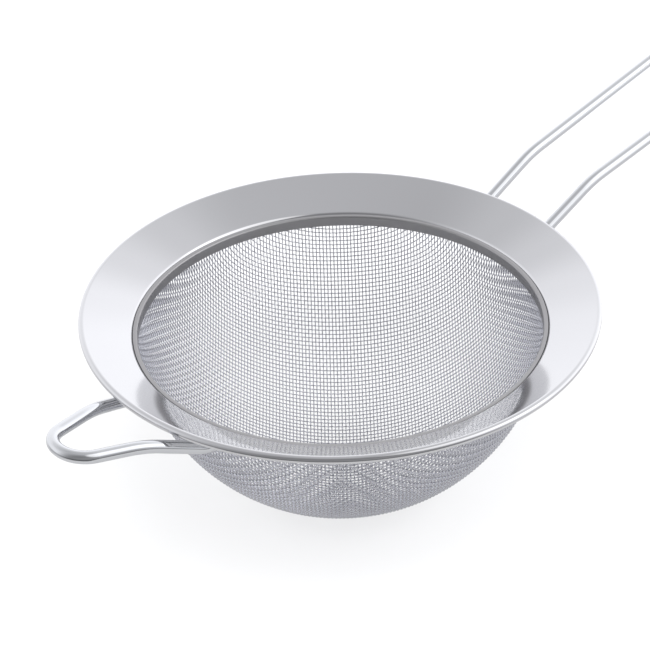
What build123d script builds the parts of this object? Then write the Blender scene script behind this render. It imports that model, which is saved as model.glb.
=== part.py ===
from build123d import *

import math
import os

# A tea strainer: a bowl of woven wire cloth held in a spun sheet-metal rim, with a long U-shaped
# wire handle on one side and a short wire ear on the other.
#
# Frame: millimetres. The origin is on the bowl's axis at the top edge of the retaining band, which
# is the mouth of the bowl. +Z is up, +X runs out along the handle, and the ear points along -X.
# The strainer is symmetric about the XZ plane.

# ---- driving dimensions -----------------------------------------------------------------------
RIM_RADIUS = 50.0          # outside of the rolled bead
BEAD_RADIUS = 0.75         # outside of the bead's own round section
BEAD_HEIGHT = 4.15         # height of the bead's centre above the mouth
BEAD_CURL = 285.0          # degrees that the sheet's edge is rolled through
SHEET = 0.4                # thickness of the rim's sheet

FLANGE_INNER_RADIUS = 40.55   # where the sloping flange turns down into the collar
FLANGE_INNER_HEIGHT = 0.4     # height of that edge above the mouth
COLLAR_BEND_RADIUS = 1.0      # outside of the bend between flange and collar
COLLAR_BOTTOM = -2.75         # height of the collar's lower edge

CLOTH = 0.45               # thickness of the wire cloth, two wires where they cross
BAND_THICKNESS = 0.45      # sheet of the retaining band
BAND_HEIGHT = 2.15         # the band runs from the mouth down by this much
BAND_CORNER_RADIUS = 0.25  # rounding between the band's wall and its lip
BOWL_DEPTH = 37.6          # from the mouth down to the middle of the cloth at the bottom

WIRE_RADIUS = 1.2          # round wire of the handle and of the ear
LEG_START_HEIGHT = -1.7    # height at which the legs meet the collar
LEG_FIRST_BEND = 43.2      # distance from the axis at which the legs turn upwards
LEG_FIRST_BEND_RADIUS = 6.0
LEG_SLOPE = 23.6           # degrees that the legs rise as they pass under the bead

HANDLE_HALF_WIDTH = 8.17   # half the distance between the legs, measured under the bead
HANDLE_SPREAD = 1.24       # degrees that each leg opens outwards
HANDLE_BEND = 64.6         # distance from the axis of the bend beyond the rim
HANDLE_BEND_RADIUS = 24.0
HANDLE_SLOPE = 9.6         # degrees that the long run of the handle rises
HANDLE_END = 169.0         # distance from the axis of the end bar's centre line
HANDLE_END_RADIUS = 9.5    # bends at the two corners of the end

EAR_HALF_WIDTH = 8.88      # the ear's measures are taken in the same way as the handle's
EAR_SPREAD = -15.1         # the ear's legs close towards its tip
EAR_BEND = 53.8
EAR_BEND_RADIUS = 24.0
EAR_SLOPE = 8.9
EAR_END = 66.3
EAR_END_RADIUS = 5.3

WELD_RADIUS = 1.8          # round weld bead at the end of a leg

# ---- dimensions that follow -------------------------------------------------------------------
BEAD_CENTRE_RADIUS = RIM_RADIUS - BEAD_RADIUS
LEG_MEASURED_AT = RIM_RADIUS - 1.0   # distance from the axis at which the leg widths are given

# The flange's upper face is a cone that starts at the inner edge and runs on to the top of the bead.
rise = BEAD_HEIGHT - FLANGE_INNER_HEIGHT
run = BEAD_CENTRE_RADIUS - FLANGE_INNER_RADIUS
FLANGE_ANGLE = math.degrees(math.atan2(rise, run) + math.asin(BEAD_RADIUS / math.hypot(rise, run)))
FLANGE_NORMAL = 90.0 + FLANGE_ANGLE

COLLAR_BEND_CENTRE = (
    FLANGE_INNER_RADIUS - COLLAR_BEND_RADIUS * math.cos(math.radians(FLANGE_NORMAL)),
    FLANGE_INNER_HEIGHT - COLLAR_BEND_RADIUS * math.sin(math.radians(FLANGE_NORMAL)),
)
COLLAR_INNER_RADIUS = COLLAR_BEND_CENTRE[0] - COLLAR_BEND_RADIUS
COLLAR_OUTER_RADIUS = COLLAR_INNER_RADIUS + SHEET
BAND_OUTER_RADIUS = COLLAR_INNER_RADIUS - CLOTH
BAND_INNER_RADIUS = BAND_OUTER_RADIUS - BAND_THICKNESS

# The cloth's middle surface is a sphere through the foot of the band and the bottom of the bowl.
CLOTH_EDGE_RADIUS = COLLAR_INNER_RADIUS - CLOTH / 2
cap_height = BOWL_DEPTH - BAND_HEIGHT
BOWL_RADIUS = (CLOTH_EDGE_RADIUS**2 + cap_height**2) / (2 * cap_height)
BOWL_CENTRE_HEIGHT = BOWL_RADIUS - BOWL_DEPTH


def on_circle(centre, radius, angle):
    """The point at an angle, in degrees, on a circle in the half-plane of a turned profile."""
    turn = math.radians(angle)
    return (centre[0] + radius * math.cos(turn), centre[1] + radius * math.sin(turn))


def turned(edges):
    """One solid of revolution about Z from the edges of a closed profile (distance, height)."""
    outline = Plane.XZ * Wire(edges)
    return revolve(Face(outline), Axis.Z)


def rim_flange():
    """Collar, sloping flange and rolled bead, spun from one sheet."""
    bead = (BEAD_CENTRE_RADIUS, BEAD_HEIGHT)
    curl_end = FLANGE_NORMAL - BEAD_CURL
    curl_inner_radius = BEAD_RADIUS - SHEET
    bend_inner_radius = COLLAR_BEND_RADIUS - SHEET

    foot_inside = (COLLAR_INNER_RADIUS, COLLAR_BOTTOM)
    foot_outside = (COLLAR_OUTER_RADIUS, COLLAR_BOTTOM)
    bend_inside = on_circle(COLLAR_BEND_CENTRE, COLLAR_BEND_RADIUS, 180)
    bend_outside = on_circle(COLLAR_BEND_CENTRE, bend_inner_radius, 180)
    edge_above = on_circle(COLLAR_BEND_CENTRE, COLLAR_BEND_RADIUS, FLANGE_NORMAL)
    edge_below = on_circle(COLLAR_BEND_CENTRE, bend_inner_radius, FLANGE_NORMAL)
    bead_above = on_circle(bead, BEAD_RADIUS, FLANGE_NORMAL)
    bead_below = on_circle(bead, curl_inner_radius, FLANGE_NORMAL)
    curl_outside = on_circle(bead, BEAD_RADIUS, curl_end)
    curl_inside = on_circle(bead, curl_inner_radius, curl_end)

    bend_middle = (180 + FLANGE_NORMAL) / 2
    curl_middle = FLANGE_NORMAL - BEAD_CURL / 2
    return turned([
        Line(foot_inside, bend_inside),
        ThreePointArc(bend_inside, on_circle(COLLAR_BEND_CENTRE, COLLAR_BEND_RADIUS, bend_middle),
                      edge_above),
        Line(edge_above, bead_above),
        ThreePointArc(bead_above, on_circle(bead, BEAD_RADIUS, curl_middle), curl_outside),
        Line(curl_outside, curl_inside),
        ThreePointArc(curl_inside, on_circle(bead, curl_inner_radius, curl_middle), bead_below),
        Line(bead_below, edge_below),
        ThreePointArc(edge_below, on_circle(COLLAR_BEND_CENTRE, bend_inner_radius, bend_middle),
                      bend_outside),
        Line(bend_outside, foot_outside),
        Line(foot_outside, foot_inside),
    ])


def retaining_band():
    """The hoop inside the collar that clamps the cloth, with a lip on top that covers its cut edge."""
    corner = (BAND_INNER_RADIUS + BAND_CORNER_RADIUS, -BAND_CORNER_RADIUS)
    wall_foot = (BAND_INNER_RADIUS, -BAND_HEIGHT)
    wall_top = on_circle(corner, BAND_CORNER_RADIUS, 180)
    lip_start = on_circle(corner, BAND_CORNER_RADIUS, 90)
    lip_edge_above = (COLLAR_INNER_RADIUS, 0.0)
    lip_edge_below = (COLLAR_INNER_RADIUS, -BAND_THICKNESS)
    under_lip = (BAND_OUTER_RADIUS, -BAND_THICKNESS)
    outer_foot = (BAND_OUTER_RADIUS, -BAND_HEIGHT)
    return turned([
        Line(wall_foot, wall_top),
        ThreePointArc(wall_top, on_circle(corner, BAND_CORNER_RADIUS, 135), lip_start),
        Line(lip_start, lip_edge_above),
        Line(lip_edge_above, lip_edge_below),
        Line(lip_edge_below, under_lip),
        Line(under_lip, outer_foot),
        Line(outer_foot, wall_foot),
    ])


def mesh_bowl():
    """The bowl of wire cloth as a thin shell, with an upright edge between collar and band."""
    centre = (0.0, BOWL_CENTRE_HEIGHT)
    inner = BOWL_RADIUS - CLOTH / 2
    outer = BOWL_RADIUS + CLOTH / 2
    edge_top = -BAND_THICKNESS

    def sphere_height(radius, sphere):
        return BOWL_CENTRE_HEIGHT - math.sqrt(sphere**2 - radius**2)

    inner_foot = (BAND_OUTER_RADIUS, sphere_height(BAND_OUTER_RADIUS, inner))
    outer_foot = (COLLAR_INNER_RADIUS, sphere_height(COLLAR_INNER_RADIUS, outer))
    inner_bottom = (0.0, BOWL_CENTRE_HEIGHT - inner)
    outer_bottom = (0.0, BOWL_CENTRE_HEIGHT - outer)
    return turned([
        Line(inner_bottom, outer_bottom),
        ThreePointArc(outer_bottom, on_circle(centre, outer, -45), outer_foot),
        Line(outer_foot, (COLLAR_INNER_RADIUS, edge_top)),
        Line((COLLAR_INNER_RADIUS, edge_top), (BAND_OUTER_RADIUS, edge_top)),
        Line((BAND_OUTER_RADIUS, edge_top), inner_foot),
        ThreePointArc(inner_foot, on_circle(centre, inner, -45), inner_bottom),
    ])


def loop_wire(half_width, spread, bend, bend_radius, slope, end, end_radius):
    """One round wire bent to a U that opens towards the bowl, built along +X.

    Both legs start at the collar, rise under the bead, turn to the slope of the long run and meet
    in a rounded end. The widths are given under the bead, and the wire stops at the collar.
    """
    def half_width_at(distance):
        return half_width + math.tan(math.radians(spread)) * (distance - LEG_MEASURED_AT)

    start = COLLAR_INNER_RADIUS - 4 * WIRE_RADIUS
    bend_height = LEG_START_HEIGHT + math.tan(math.radians(LEG_SLOPE)) * (bend - LEG_FIRST_BEND)
    end_height = bend_height + math.tan(math.radians(slope)) * (end - bend)
    stations = [(start, LEG_START_HEIGHT), (LEG_FIRST_BEND, LEG_START_HEIGHT),
                (bend, bend_height), (end, end_height)]
    left_leg = [(x, half_width_at(x), z) for x, z in stations]
    right_leg = [(x, -y, z) for x, y, z in reversed(left_leg)]
    radii = [LEG_FIRST_BEND_RADIUS, bend_radius, end_radius]
    path = FilletPolyline(*left_leg, *right_leg, radius=radii + radii[::-1])
    section = Plane(origin=path @ 0, z_dir=path % 0) * Circle(WIRE_RADIUS)
    wire = sweep(section, path=path)
    return wire - Cylinder(COLLAR_OUTER_RADIUS, 4 * BOWL_DEPTH)


def leg_weld(half_width, spread, side, wire, rim):
    """The weld between one leg's end and the collar, on the side +1 or -1, built along +X."""
    slope = math.tan(math.radians(spread))
    width_on_axis = half_width - slope * LEG_MEASURED_AT
    reach = (1 + slope**2) * COLLAR_OUTER_RADIUS**2 - width_on_axis**2
    x = (math.sqrt(reach) - slope * width_on_axis) / (1 + slope**2)
    y = width_on_axis + slope * x
    bead = Pos(x, side * y, LEG_START_HEIGHT) * Sphere(WELD_RADIUS)
    beside_collar = Pos(0, 0, COLLAR_BOTTOM) * Cylinder(
        RIM_RADIUS, BOWL_DEPTH, align=(Align.CENTER, Align.CENTER, Align.MIN))
    beside_collar -= Cylinder(COLLAR_OUTER_RADIUS, 4 * BOWL_DEPTH)
    return (bead & beside_collar) - wire - rim


def turned_to_ear(shape):
    """The same shape on the other side of the bowl."""
    return Rot(0, 0, 180) * shape


rim = rim_flange()
handle = loop_wire(HANDLE_HALF_WIDTH, HANDLE_SPREAD, HANDLE_BEND, HANDLE_BEND_RADIUS,
                   HANDLE_SLOPE, HANDLE_END, HANDLE_END_RADIUS)
ear = loop_wire(EAR_HALF_WIDTH, EAR_SPREAD, EAR_BEND, EAR_BEND_RADIUS,
                EAR_SLOPE, EAR_END, EAR_END_RADIUS)

nodes = {
    "rim_flange": rim,
    "retaining_band": retaining_band(),
    "mesh_bowl": mesh_bowl(),
    "handle_wire": handle,
    "rest_ear_wire": turned_to_ear(ear),
}
for name, side in (("left", 1), ("right", -1)):
    nodes["handle_weld_" + name] = leg_weld(HANDLE_HALF_WIDTH, HANDLE_SPREAD, side, handle, rim)
    nodes["ear_weld_" + name] = turned_to_ear(leg_weld(EAR_HALF_WIDTH, EAR_SPREAD, side, ear, rim))

os.makedirs("parts", exist_ok=True)
for name, solid in nodes.items():
    export_step(solid, os.path.join("parts", name + ".step"))

print(f"flange angle {FLANGE_ANGLE:.1f} deg, collar inside radius {COLLAR_INNER_RADIUS:.2f}")
print(f"band inside radius {BAND_INNER_RADIUS:.2f}, bowl radius {BOWL_RADIUS:.2f}")
print(f"bowl centre height {BOWL_CENTRE_HEIGHT:.2f}")
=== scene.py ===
"""The looks of a tea strainer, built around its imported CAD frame.

The bowl is woven here wire by wire, and the rim and its band are spun finely from their profiles. The
handle, the ear and the welds keep the CAD's own shapes and get their finishes here. Lengths are in
metres unless a name says otherwise.
"""

import math

import bpy
import numpy as np
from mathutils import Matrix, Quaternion, Vector


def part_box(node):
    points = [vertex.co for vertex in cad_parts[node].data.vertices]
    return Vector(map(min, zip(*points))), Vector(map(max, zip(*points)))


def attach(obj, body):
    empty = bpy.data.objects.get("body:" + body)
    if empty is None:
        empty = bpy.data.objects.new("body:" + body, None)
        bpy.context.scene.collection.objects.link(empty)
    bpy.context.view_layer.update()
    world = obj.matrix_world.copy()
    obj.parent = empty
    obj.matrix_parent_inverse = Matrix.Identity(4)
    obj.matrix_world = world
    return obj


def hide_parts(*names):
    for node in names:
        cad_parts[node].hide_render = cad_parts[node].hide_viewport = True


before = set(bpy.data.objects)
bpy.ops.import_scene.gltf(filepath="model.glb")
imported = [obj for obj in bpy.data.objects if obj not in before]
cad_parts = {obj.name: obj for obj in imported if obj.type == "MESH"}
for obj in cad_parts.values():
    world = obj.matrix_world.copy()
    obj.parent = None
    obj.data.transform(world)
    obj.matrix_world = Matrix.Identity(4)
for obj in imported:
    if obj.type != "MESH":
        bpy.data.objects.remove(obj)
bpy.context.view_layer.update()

MM = 0.001

# ---- the wire cloth ----------------------------------------------------------------------------
CLOTH_THICKNESS = 0.45 * MM          # two wires, where they cross
WIRE_RADIUS = CLOTH_THICKNESS / 4
WARP_PITCH = 0.742 * MM              # between warp wires, measured over the bowl
WEFT_PITCH = 0.885 * MM              # between weft wires
CLOTH_TURN = math.radians(-42.9)     # from the handle to the line along which the weft wires run
DRAW_IN = 0.17                       # how far the wires close up where the bowl is curved both ways
STRAIGHT_WEFT = -13.0 * MM           # the weft wire that stays straight runs this far beside the axis
SPARE_WIRES = 10                     # wires on each side that start past the edge and are drawn in
SETTLING_ROUNDS = 6                  # the places of the two sets depend on each other
WIRE_SIDES = 6

# ---- the spun sheet ----------------------------------------------------------------------------
SHEET = 0.4 * MM                     # of the rim
BEAD_RADIUS = 0.75 * MM              # outside of the rolled edge
BEAD_CURL = 285.0                    # degrees that the edge is rolled through
FLANGE_INNER_RADIUS = 40.55 * MM     # where the flange turns down into the collar
FLANGE_INNER_HEIGHT = 0.4 * MM
COLLAR_BEND_RADIUS = 1.0 * MM
BAND_SHEET = 0.45 * MM
BAND_CORNER_RADIUS = 0.40 * MM       # between the band's wall and its lip
SPIN_STEPS = 360
ARC_STEP = 7.5                       # degrees between the points of a profile's arcs

# ---- the camera --------------------------------------------------------------------------------
VIEW_AZIMUTH = math.radians(-41.93)  # 0 looks along +Y
VIEW_ELEVATION = math.radians(33.82)
VIEW_ROLL = math.radians(-2.34)
VIEW_DISTANCE = 349.8 * MM
VIEW_AIM = Vector((-2.12, 2.04, -1.28)) * MM
LENS_MM = 100.0
SENSOR_MM = 36.0

# ---- the stage ---------------------------------------------------------------------------------
FLOOR_RADIUS = 3.0                   # from the middle of the square floor to its corners
FLOOR_BELOW = 0.2 * MM               # under the bowl
FLOOR_GREY = 0.60
TABLE_RADIUS = 140 * MM              # of the grey table top that the metal mirrors
TABLE_BELOW = 0.1 * MM
TABLE_GREY = 0.38
WALL_TINT = (0.985, 0.99, 1.02)
WALL_BRIGHT = ((0.0, 1.28), (0.30, 1.28), (0.50, 1.18),   # (sine of the elevation, brightness)
               (0.67, 0.95), (0.81, 0.78), (0.95, 0.62))
FRONT_DIM = 0.25                     # light from the camera's side, as a part of that from behind
LOW_DIM = 0.52                       # light from below the horizon beside and before the object
SOFTBOX_AZIMUTH = VIEW_AZIMUTH + math.radians(65)
SOFTBOX_ELEVATION = math.radians(45)
SOFTBOX_INSIDE = 20                  # degrees from the softbox's middle to where it begins to fade
SOFTBOX_OUTSIDE = 34
SOFTBOX_BRIGHT = 0.65
LEFT_DIM = 0.86                      # light from the camera's left, and from its right
RIGHT_LIFT = 1.14


def direction(azimuth, elevation):
    """The unit vector from the object towards a viewer at that azimuth and elevation."""
    return Vector((math.sin(azimuth) * math.cos(elevation),
                   -math.cos(azimuth) * math.cos(elevation),
                   math.sin(elevation)))


# ---- material nodes ----------------------------------------------------------------------------
class NodeTree:
    """A node tree, with short calls that add nodes to it."""

    def __init__(self, tree):
        self.tree = tree

    def add(self, kind, **settings):
        node = self.tree.nodes.new(kind)
        for name, value in settings.items():
            setattr(node, name, value)
        return node

    def link(self, source, target):
        self.tree.links.new(source, target)

    def math(self, operation, first, second=0.0):
        node = self.add("ShaderNodeMath", operation=operation)
        for socket, value in zip(node.inputs, (first, second)):
            if isinstance(value, bpy.types.NodeSocket):
                self.link(value, socket)
            else:
                socket.default_value = value
        return node.outputs[0]

    def dot(self, vector, fixed):
        node = self.add("ShaderNodeVectorMath", operation="DOT_PRODUCT")
        self.link(vector, node.inputs[0])
        node.inputs[1].default_value = fixed
        return node.outputs["Value"]

    def ranged(self, value, low, high, start=0.0, end=1.0, smooth=False):
        """value, between the numbers start and end, spread between low and high."""
        node = self.add("ShaderNodeMapRange", interpolation_type="SMOOTHSTEP" if smooth else "LINEAR")
        node.inputs["From Min"].default_value = start
        node.inputs["From Max"].default_value = end
        node.inputs["To Min"].default_value = low
        node.inputs["To Max"].default_value = high
        self.link(value, node.inputs["Value"])
        return node.outputs[0]


class Nodes(NodeTree):
    """A material with a Principled shader."""

    def __init__(self, name, colour, metallic=1.0):
        self.material = bpy.data.materials.new(name)
        self.material.use_nodes = True
        super().__init__(self.material.node_tree)
        self.shader = self.tree.nodes["Principled BSDF"]
        self.shader.inputs["Base Color"].default_value = (*colour, 1.0)
        self.shader.inputs["Metallic"].default_value = metallic

    def place(self):
        """The place on the object, in metres, as a vector socket."""
        return self.add("ShaderNodeTexCoord").outputs["Object"]

    def scaled(self, vector, scale):
        node = self.add("ShaderNodeMapping")
        node.inputs["Scale"].default_value = scale
        self.link(vector, node.inputs["Vector"])
        return node.outputs[0]

    def noise(self, vector, scale, detail):
        node = self.add("ShaderNodeTexNoise")
        node.inputs["Scale"].default_value = scale
        node.inputs["Detail"].default_value = detail
        self.link(vector, node.inputs["Vector"])
        return node.outputs["Fac"]

    def roughness(self, value):
        self.link(value, self.shader.inputs["Roughness"])

    def bump(self, height, distance):
        node = self.add("ShaderNodeBump")
        node.inputs["Distance"].default_value = distance
        self.link(height, node.inputs["Height"])
        self.link(node.outputs[0], self.shader.inputs["Normal"])


def around_axis(nodes):
    """A place as (distance from the axis, height), for the rings left by spinning and polishing."""
    split = nodes.add("ShaderNodeSeparateXYZ")
    nodes.link(nodes.place(), split.inputs[0])
    x, y, z = split.outputs
    squares = nodes.math("ADD", nodes.math("MULTIPLY", x, x), nodes.math("MULTIPLY", y, y))
    distance = nodes.math("SQRT", squares)
    join = nodes.add("ShaderNodeCombineXYZ")
    nodes.link(distance, join.inputs[0])
    nodes.link(z, join.inputs[1])
    return join.outputs[0]


def polished_sheet():
    """Spun and polished stainless steel, with very fine rings left by the polishing."""
    nodes = Nodes("polished_sheet", (0.69, 0.69, 0.705))
    rings = nodes.noise(around_axis(nodes), scale=9000.0, detail=3.0)
    clouds = nodes.noise(nodes.place(), scale=60.0, detail=3.0)
    nodes.roughness(nodes.ranged(nodes.math("MULTIPLY", rings, clouds), 0.05, 0.13))
    nodes.bump(rings, distance=0.0005 * MM)
    return nodes.material


def band_sheet():
    """The band inside the collar: a rougher finish of its own, and a base colour darker than the rim's
    steel, which is painted shade for the recess below the collar's bend.
    """
    # the dark base colour is painted shade for the recess inside the collar, not a darker steel
    nodes = Nodes("band_sheet", (0.40, 0.395, 0.40))
    rings = nodes.noise(around_axis(nodes), scale=7000.0, detail=3.0)
    nodes.roughness(nodes.ranged(rings, 0.30, 0.44))
    nodes.bump(rings, distance=0.0005 * MM)
    return nodes.material


def round_wire():
    """Drawn and polished wire, with faint lines along it."""
    nodes = Nodes("round_wire", (0.70, 0.71, 0.73))
    along = nodes.scaled(nodes.place(), (0.03, 1.0, 1.0))
    lines = nodes.noise(along, scale=5000.0, detail=2.0)
    nodes.roughness(nodes.ranged(lines, 0.03, 0.10))
    nodes.bump(lines, distance=0.0004 * MM)
    return nodes.material


def weld_metal():
    """Rough weld metal, in a darker brown than the wire."""
    nodes = Nodes("weld", (0.42, 0.37, 0.33))
    grain = nodes.noise(nodes.place(), scale=2500.0, detail=4.0)
    nodes.roughness(nodes.ranged(grain, 0.25, 0.55))
    nodes.bump(grain, distance=0.05 * MM)
    return nodes.material


def wire_cloth():
    """Bright drawn wire of the woven cloth, with fine scratches and duller patches."""
    nodes = Nodes("wire_cloth", (0.65, 0.655, 0.695))
    scratches = nodes.noise(nodes.place(), scale=9000.0, detail=2.0)
    patches = nodes.noise(nodes.place(), scale=150.0, detail=2.0)
    nodes.roughness(nodes.ranged(nodes.math("MULTIPLY", scratches, patches), 0.14, 0.34))
    nodes.bump(scratches, distance=0.001 * MM)
    return nodes.material


# ---- meshes ------------------------------------------------------------------------------------
def mesh_object(name, vertices, quads, caps=()):
    """A smooth-shaded mesh of quads, with end caps of any number of corners."""
    sizes = np.concatenate([np.full(len(quads), 4), np.array([len(cap) for cap in caps], int)])
    corners = np.concatenate([quads.ravel(), *[np.asarray(cap) for cap in caps]]).astype(np.int32)
    mesh = bpy.data.meshes.new(name)
    mesh.vertices.add(len(vertices))
    mesh.vertices.foreach_set("co", np.asarray(vertices, np.float32).ravel())
    mesh.loops.add(len(corners))
    mesh.loops.foreach_set("vertex_index", corners)
    mesh.polygons.add(len(sizes))
    starts = np.concatenate([[0], np.cumsum(sizes)[:-1]]).astype(np.int32)
    mesh.polygons.foreach_set("loop_start", starts)
    mesh.polygons.foreach_set("use_smooth", np.ones(len(sizes), bool))
    mesh.update(calc_edges=True)
    mesh.validate()
    shown = bpy.data.objects.new(name, mesh)
    bpy.context.scene.collection.objects.link(shown)
    return shown


# ---- the woven bowl ----------------------------------------------------------------------------
def bowl_shape():
    """The cloth's sphere and edge, from the CAD bowl and band: (edge radius, radius, centre height)."""
    low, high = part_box("mesh_bowl")
    band_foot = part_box("retaining_band")[0].z
    edge_radius = high.x - CLOTH_THICKNESS / 2
    cap_height = band_foot - (low.z + CLOTH_THICKNESS / 2)
    radius = (edge_radius**2 + cap_height**2) / (2 * cap_height)
    return edge_radius, radius, band_foot - cap_height + radius


EDGE_RADIUS, BOWL_RADIUS, BOWL_CENTRE = bowl_shape()
CLAMP_HEIGHT = (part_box("retaining_band")[0].z - BAND_SHEET) / 2


def wire_angles(pitch):
    """Signed angles about the bowl's centre of the wires of one set, some of them past the edge."""
    steepest = math.asin(EDGE_RADIUS / BOWL_RADIUS)
    count = int(BOWL_RADIUS * steepest / pitch + 0.5) + SPARE_WIRES
    return (np.arange(-count, count) + 0.5) * pitch / BOWL_RADIUS


def place_beside_axis(angles):
    """How far from the axis a wire at each angle about the bowl's centre runs."""
    return BOWL_RADIUS * np.sin(np.clip(angles, -math.pi / 2, math.pi / 2))


def crossings():
    """x and y of every crossing of a warp and a weft wire: two arrays [warp number, weft number]."""
    across, along = np.meshgrid(wire_angles(WARP_PITCH), wire_angles(WEFT_PITCH), indexing="ij")
    along = place_beside_axis(along) - STRAIGHT_WEFT
    x, y = place_beside_axis(across), along + STRAIGHT_WEFT
    for _ in range(SETTLING_ROUNDS):
        x = place_beside_axis(across * (1 - DRAW_IN * np.sin(across)**2 * (y / BOWL_RADIUS)**2))
        y = along * (1 - DRAW_IN * along**2 * x**2 / BOWL_RADIUS**4) + STRAIGHT_WEFT
    return x, y


def wire_path(x, y, starts_over):
    """Centre line of one wire through its crossings, and the cloth's normal along it.

    The wire goes over and under by turns, and both its ends stand in the clamp.
    """
    away = np.hypot(x, y)
    inside = np.nonzero(away < EDGE_RADIUS)[0]
    if len(inside) < 2:
        return None
    first, last = inside[0] - 1, inside[-1] + 1
    x = np.concatenate([[2 * x[first + 1] - x[first + 2]], x[inside], [2 * x[last - 1] - x[last - 2]]])
    y = np.concatenate([[2 * y[first + 1] - y[first + 2]], y[inside], [2 * y[last - 1] - y[last - 2]]])
    away = np.hypot(x, y)
    z = BOWL_CENTRE - np.sqrt(np.maximum(BOWL_RADIUS**2 - away**2, 0))
    for end in (0, -1):
        x[end] *= EDGE_RADIUS / away[end]
        y[end] *= EDGE_RADIUS / away[end]
        z[end] = CLAMP_HEIGHT
    points = np.stack([x, y, z], 1)
    normals = np.array([0, 0, BOWL_CENTRE]) - points
    normals[[0, -1], 2] = 0
    normals /= np.linalg.norm(normals, axis=1)[:, None]
    side = np.where((np.arange(first, last + 1) + starts_over) % 2 == 0, 1.0, -1.0)
    over = points + normals * (side * WIRE_RADIUS)[:, None]
    path = np.empty((2 * len(points) - 1, 3))
    path[0::2] = over
    path[1::2] = (points[:-1] + points[1:]) / 2
    path_normals = np.repeat(normals, 2, axis=0)[:-1]
    path_normals[1::2] = (normals[:-1] + normals[1:]) / 2
    return path, path_normals


def tube(path, normals, radius, sides):
    """Vertices and faces of a closed round tube along a path."""
    ahead = np.gradient(path, axis=0)
    ahead /= np.linalg.norm(ahead, axis=1)[:, None]
    across = np.cross(normals, ahead)
    across /= np.linalg.norm(across, axis=1)[:, None]
    upwards = np.cross(ahead, across)
    turns = 2 * math.pi * np.arange(sides) / sides
    rings = (path[:, None, :]
             + radius * np.cos(turns)[None, :, None] * across[:, None, :]
             + radius * np.sin(turns)[None, :, None] * upwards[:, None, :])
    start = sides * np.arange(len(path) - 1)[:, None]
    here = np.arange(sides)[None, :]
    beside = (here + 1) % sides
    walls = np.stack([start + here, start + beside, start + sides + beside, start + sides + here], -1)
    return rings.reshape(-1, 3), walls.reshape(-1, 4)


def turned(points, angle):
    """Points turned about the bowl's axis."""
    cos, sin = math.cos(angle), math.sin(angle)
    return points @ np.array([[cos, sin, 0], [-sin, cos, 0], [0, 0, 1]])


def wire_set(name, x, y, starts_over, material):
    """One piece made of many wires, from a row of x and y for each wire."""
    vertices, quads, caps = [], [], []
    used = 0
    for number in range(len(x)):
        line = wire_path(x[number], y[number], number + starts_over)
        if line is None:
            continue
        points, faces = tube(*line, WIRE_RADIUS, WIRE_SIDES)
        first_ring = np.arange(WIRE_SIDES)
        last_ring = first_ring + len(points) - WIRE_SIDES
        quads.append(faces + used)
        caps += [first_ring[::-1] + used, last_ring + used]
        vertices.append(turned(points, CLOTH_TURN))
        used += len(points)
    piece = mesh_object(name, np.concatenate(vertices), np.concatenate(quads), caps)
    piece.data.materials.append(material)
    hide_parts("mesh_bowl")
    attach(piece, "root")


def woven_bowl():
    """The cloth, in four pieces: half of the warp wires or half of the weft wires in each."""
    x, y = crossings()
    material = wire_cloth()
    half_warp, half_weft = len(x) // 2, x.shape[1] // 2
    wire_set("warp_wires_left", x[:half_warp], y[:half_warp], 0, material)
    wire_set("warp_wires_right", x[half_warp:], y[half_warp:], half_warp, material)
    wire_set("weft_wires_near", x.T[:half_weft], y.T[:half_weft], 1, material)
    wire_set("weft_wires_far", x.T[half_weft:], y.T[half_weft:], half_weft + 1, material)


# ---- the spun rim and band ---------------------------------------------------------------------
def arc(centre, radius, start, end):
    """Points of an arc in a profile (distance, height), its angles in degrees from outwards to up."""
    steps = max(2, round(abs(end - start) / ARC_STEP))
    angles = np.radians(np.linspace(start, end, steps + 1))
    return np.stack([centre[0] + radius * np.cos(angles), centre[1] + radius * np.sin(angles)], 1)


def spun(name, profile, corners, material, replaced):
    """A closed profile spun about the bowl's axis, with crisp edges at the numbered corners."""
    angles = 2 * math.pi * np.arange(SPIN_STEPS) / SPIN_STEPS
    count = len(profile)
    distance, height = profile[None, :, 0], profile[None, :, 1]
    points = np.stack([distance * np.cos(angles)[:, None], distance * np.sin(angles)[:, None],
                       height + 0 * angles[:, None]], -1)
    here = count * np.arange(SPIN_STEPS)[:, None]
    beyond = np.roll(here, -1, axis=0)
    first = np.arange(count)[None, :]
    second = (first + 1) % count
    walls = np.stack([here + first, beyond + first, beyond + second, here + second], -1)
    piece = mesh_object(name, points.reshape(-1, 3), walls.reshape(-1, 4))
    ends = np.empty(2 * len(piece.data.edges), np.int32)
    piece.data.edges.foreach_get("vertices", ends)
    places = ends.reshape(-1, 2) % count
    sharp = (places[:, 0] == places[:, 1]) & np.isin(places[:, 0], corners)
    piece.data.edges.foreach_set("use_edge_sharp", sharp)
    piece.data.materials.append(material)
    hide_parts(replaced)
    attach(piece, "root")


def joined(*parts):
    """One profile from arcs and corner points, and the numbers of its corner points."""
    points = [np.atleast_2d(part) for part in parts]
    starts = np.cumsum([0] + [len(part) for part in points])
    corners = [start for start, part in zip(starts, points) if len(part) == 1]
    return np.concatenate(points), corners


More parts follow.
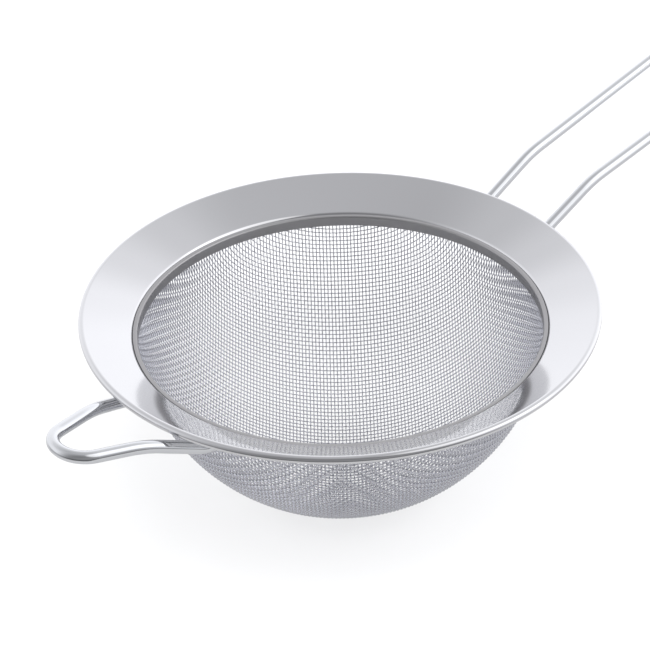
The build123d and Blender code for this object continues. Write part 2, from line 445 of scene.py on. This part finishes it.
def spun_rim():
    """Collar, sloping flange and rolled bead, as one sheet."""
    low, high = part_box("rim_flange")
    bead = (min(high.x, high.y) - BEAD_RADIUS, high.z - BEAD_RADIUS)
    rise = bead[1] - FLANGE_INNER_HEIGHT
    run = bead[0] - FLANGE_INNER_RADIUS
    slope = math.atan2(rise, run) + math.asin(BEAD_RADIUS / math.hypot(rise, run))
    normal = 90.0 + math.degrees(slope)
    bend = (FLANGE_INNER_RADIUS + COLLAR_BEND_RADIUS * math.sin(slope),
            FLANGE_INNER_HEIGHT - COLLAR_BEND_RADIUS * math.cos(slope))
    collar = bend[0] - COLLAR_BEND_RADIUS
    curl_end = normal - BEAD_CURL
    profile, corners = joined(
        (collar, low.z),
        arc(bend, COLLAR_BEND_RADIUS, 180.0, normal),
        arc(bead, BEAD_RADIUS, normal, curl_end),
        arc(bead, BEAD_RADIUS - SHEET, curl_end, normal),
        arc(bend, COLLAR_BEND_RADIUS - SHEET, normal, 180.0),
        (collar + SHEET, low.z))
    spun("rim_sheet", profile, corners, polished_sheet(), "rim_flange")


def spun_band():
    """The hoop that clamps the cloth, with its lip."""
    low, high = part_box("retaining_band")
    outside = min(high.x, high.y)
    wall_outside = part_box("mesh_bowl")[1].x - CLOTH_THICKNESS
    inside = wall_outside - BAND_SHEET
    corner = (inside + BAND_CORNER_RADIUS, high.z - BAND_CORNER_RADIUS)
    profile, corners = joined(
        (inside, low.z),
        arc(corner, BAND_CORNER_RADIUS, 180.0, 90.0),
        (outside, high.z),
        (outside, high.z - BAND_SHEET),
        (wall_outside, high.z - BAND_SHEET),
        (wall_outside, low.z))
    spun("band_hoop", profile, corners, band_sheet(), "retaining_band")


# ---- finishes of the CAD parts -----------------------------------------------------------------
def finish_cad_parts():
    """The CAD's wire and weld nodes, found by their names, get the round-wire and weld materials."""
    wire, weld = round_wire(), weld_metal()
    for name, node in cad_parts.items():
        if name.endswith("_wire") or "_weld_" in name:
            node.data.materials.clear()
            node.data.materials.append(weld if "_weld_" in name else wire)


# ---- studio ------------------------------------------------------------------------------------
def studio_world():
    """A pale studio: bright low walls behind, a greyer ceiling, a dim front and one softbox."""
    world = bpy.data.worlds.new("studio")
    world.use_nodes = True
    bpy.context.scene.world = world
    sky = NodeTree(world.node_tree)
    look = sky.add("ShaderNodeTexCoord").outputs["Generated"]
    height = sky.dot(look, (0, 0, 1))
    towards_camera = sky.dot(look, direction(VIEW_AZIMUTH, 0))
    towards_right = sky.dot(look, direction(VIEW_AZIMUTH + math.pi / 2, 0))
    towards_softbox = sky.dot(look, direction(SOFTBOX_AZIMUTH, SOFTBOX_ELEVATION))

    walls = sky.add("ShaderNodeValToRGB")
    walls.color_ramp.interpolation = "EASE"
    while len(walls.color_ramp.elements) < len(WALL_BRIGHT):
        walls.color_ramp.elements.new(0.5)
    for element, (place, bright) in zip(walls.color_ramp.elements, WALL_BRIGHT):
        element.position = place
        element.color = (*[bright * part for part in WALL_TINT], 1.0)
    sky.link(height, walls.inputs[0])

    front = sky.ranged(towards_camera, 1.0, FRONT_DIM, end=0.85, smooth=True)
    sides = sky.ranged(towards_right, LEFT_DIM, RIGHT_LIFT, start=-0.8, end=0.8)
    below = sky.ranged(height, 1.0, 0.0, start=-0.2, end=0.02, smooth=True)
    beside = sky.ranged(towards_camera, 0.0, 1.0, start=-0.8, end=-0.2, smooth=True)
    low = sky.ranged(sky.math("MULTIPLY", below, beside), 1.0, LOW_DIM)
    softbox = sky.ranged(towards_softbox, 0.0, SOFTBOX_BRIGHT, smooth=True,
                         start=math.cos(math.radians(SOFTBOX_OUTSIDE)),
                         end=math.cos(math.radians(SOFTBOX_INSIDE)))
    dimmed = sky.add("ShaderNodeVectorMath", operation="SCALE")
    sky.link(walls.outputs["Color"], dimmed.inputs[0])
    sky.link(sky.math("MULTIPLY", sky.math("MULTIPLY", front, low), sides), dimmed.inputs["Scale"])
    lit = sky.add("ShaderNodeVectorMath", operation="ADD")
    sky.link(dimmed.outputs[0], lit.inputs[0])
    sky.link(softbox, lit.inputs[1])
    sky.link(lit.outputs[0], sky.tree.nodes["Background"].inputs["Color"])


def studio_light(name, azimuth, elevation, distance, size, power, shadow):
    """A round lamp that lights the matt floor; the metal mirrors the studio and not the lamp."""
    data = bpy.data.lights.new(name, "AREA")
    data.shape = "DISK"
    data.size = size
    data.energy = power
    lamp = bpy.data.objects.new(name, data)
    bpy.context.scene.collection.objects.link(lamp)
    away = direction(azimuth, elevation)
    lamp.location = away * distance
    lamp.rotation_mode = "QUATERNION"
    lamp.rotation_quaternion = away.to_track_quat("Z", "Y")
    data.use_shadow = shadow
    lamp.visible_glossy = False
    lamp.visible_camera = False


def stage_sheet(name, radius, sides, height, grey):
    """A matt disc or square under the object."""
    nodes = Nodes(name, (grey, grey, grey), metallic=0.0)
    nodes.shader.inputs["Roughness"].default_value = 1.0
    nodes.shader.inputs["Specular IOR Level"].default_value = 0.0
    turns = 2 * math.pi * np.arange(sides) / sides
    edge = np.stack([radius * np.cos(turns), radius * np.sin(turns), height + 0 * turns], 1)
    sheet = mesh_object(name, edge, np.empty((0, 4), int), [np.arange(sides)])
    sheet.data.materials.append(nodes.material)
    return sheet


def pale_floor():
    """A white floor for the camera, and over it the greyer table top that the metal mirrors."""
    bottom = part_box("mesh_bowl")[0].z
    floor = stage_sheet("floor", FLOOR_RADIUS, 4, bottom - FLOOR_BELOW, FLOOR_GREY)
    floor.visible_glossy = False
    table = stage_sheet("table", TABLE_RADIUS, 96, bottom - TABLE_BELOW, TABLE_GREY)
    table.visible_camera = False
    table.visible_diffuse = False
    table.visible_shadow = False


def camera():
    """A camera at the photograph's point of view."""
    data = bpy.data.cameras.new("camera")
    data.lens = LENS_MM
    data.sensor_width = SENSOR_MM
    data.clip_start = 0.01
    shot = bpy.data.objects.new("camera", data)
    bpy.context.scene.collection.objects.link(shot)
    back = direction(VIEW_AZIMUTH, VIEW_ELEVATION)
    shot.location = VIEW_AIM + back * VIEW_DISTANCE
    shot.rotation_mode = "QUATERNION"
    shot.rotation_quaternion = (-back).to_track_quat("-Z", "Y") @ Quaternion((0, 0, 1), VIEW_ROLL)
    bpy.context.scene.camera = shot


woven_bowl()
spun_rim()
spun_band()
finish_cad_parts()
studio_world()
studio_light("front_lamp", VIEW_AZIMUTH, math.radians(62), distance=1.2, size=1.0, power=9.0, shadow=True)
studio_light("overhead_fill", 0, math.pi / 2, distance=2.4, size=1.2, power=49.0, shadow=False)
pale_floor()
camera()
bpy.context.scene.view_settings.view_transform = "Standard"
